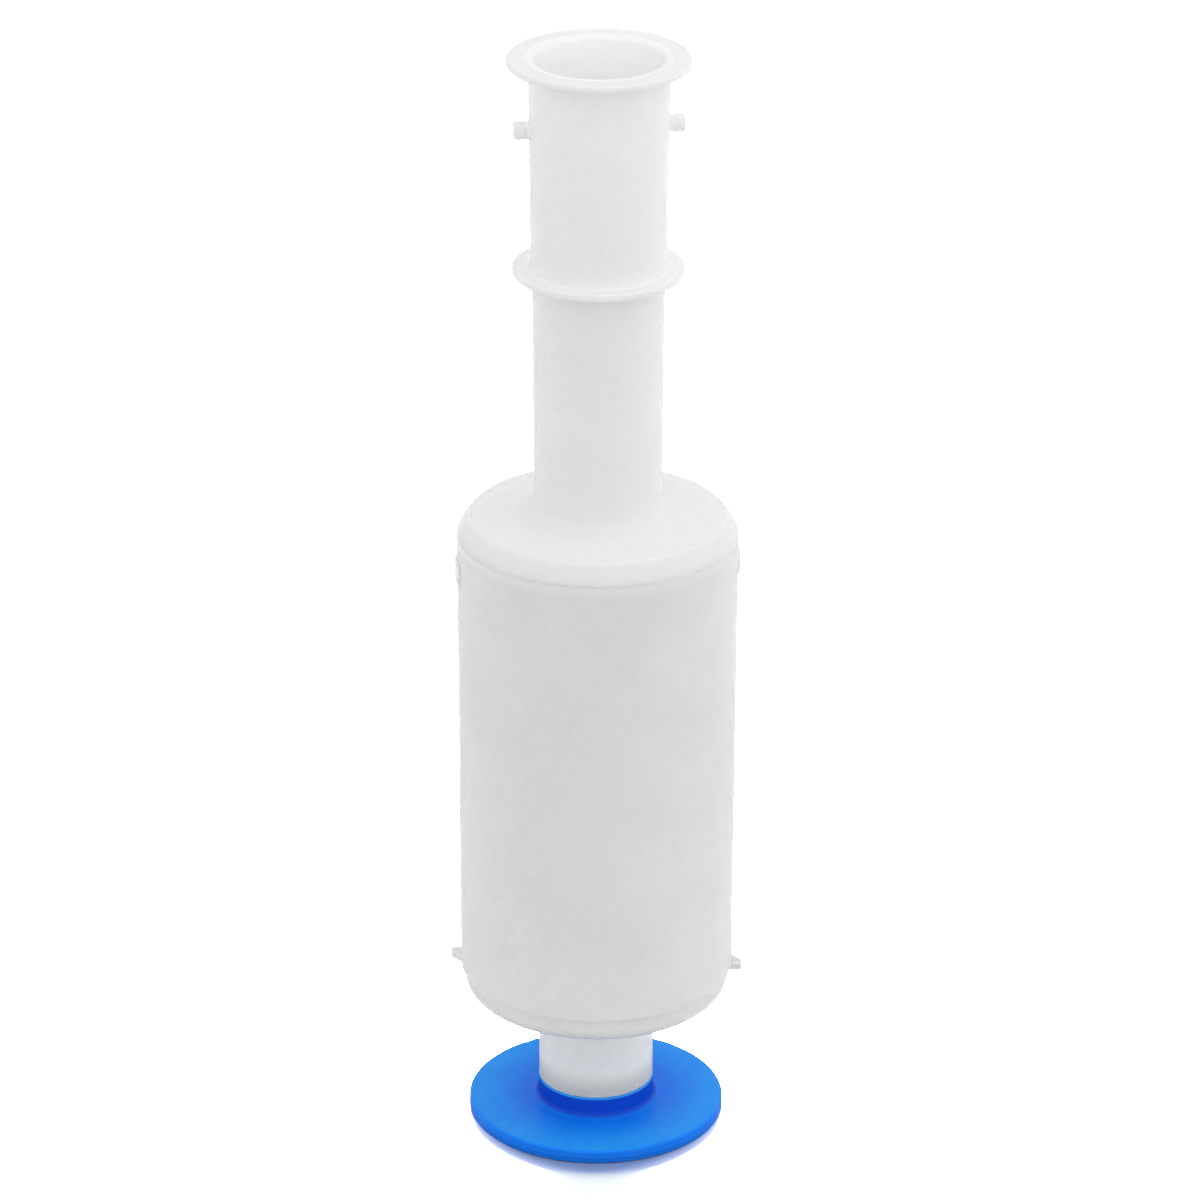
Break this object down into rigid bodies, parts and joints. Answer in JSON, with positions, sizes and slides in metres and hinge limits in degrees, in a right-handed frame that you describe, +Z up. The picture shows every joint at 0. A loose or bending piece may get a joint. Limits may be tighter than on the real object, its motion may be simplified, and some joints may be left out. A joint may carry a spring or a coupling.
{
  "type": "cistern flush valve stem",
  "caption": "Overflow pipe with a soft sealing disc, a hollow float that slides on it and a lift sleeve with cross pins that telescopes in the float's neck.",
  "frame": {"origin": "centre of the sealing disc's underside", "axes": "+Z up along the overflow pipe from seal to mouth; X along the line through the two bayonet lugs, to within two degrees"},
  "size_m": [0.0708, 0.0666, 0.27],
  "materials": {
    "natural_pp": "milky translucent natural polypropylene, satin moulded skin",
    "blue_silicone": "smooth soft silicone with a low gloss",
    "clear_silicone": "translucent silicone",
    "white_acetal": "white acetal, satin"
  },
  "bodies": {
    "valve_stem": {"overflow_pipe": "natural_pp", "sealing_disc": "blue_silicone", "seal_retainer": "white_acetal"},
    "pipe_rings": {"pipe_o_ring": "clear_silicone", "stop_ring": "white_acetal"},
    "float": {"float_cup": "natural_pp", "float_cap": "natural_pp", "guide_tube": "natural_pp", "cap_gasket": "clear_silicone", "upper_tube_o_ring": "clear_silicone", "lower_tube_o_ring": "clear_silicone", "guide_bush": "white_acetal"},
    "sleeve_ring": {"sleeve_o_ring": "clear_silicone"},
    "sleeve": {"lift_sleeve": "natural_pp"}
  },
  "joints": [
    {"name": "float_turn", "type": "hinge", "parent": "valve_stem", "child": "pipe_rings", "pos_m": [0, 0, 0.05], "axis": [0, 0, 1], "continuous": true},
    {"name": "float_slide", "type": "slide", "parent": "pipe_rings", "child": "float", "axis": [0, 0, 1], "range_m": [-0.024, 0.008]},
    {"name": "sleeve_slide", "type": "slide", "parent": "float", "child": "sleeve_ring", "axis": [0, 0, 1], "range_m": [0, 0.018]},
    {"name": "sleeve_turn", "type": "hinge", "parent": "sleeve_ring", "child": "sleeve", "pos_m": [0, 0, 0.19], "axis": [0, 0, 1], "continuous": true}
  ]
}
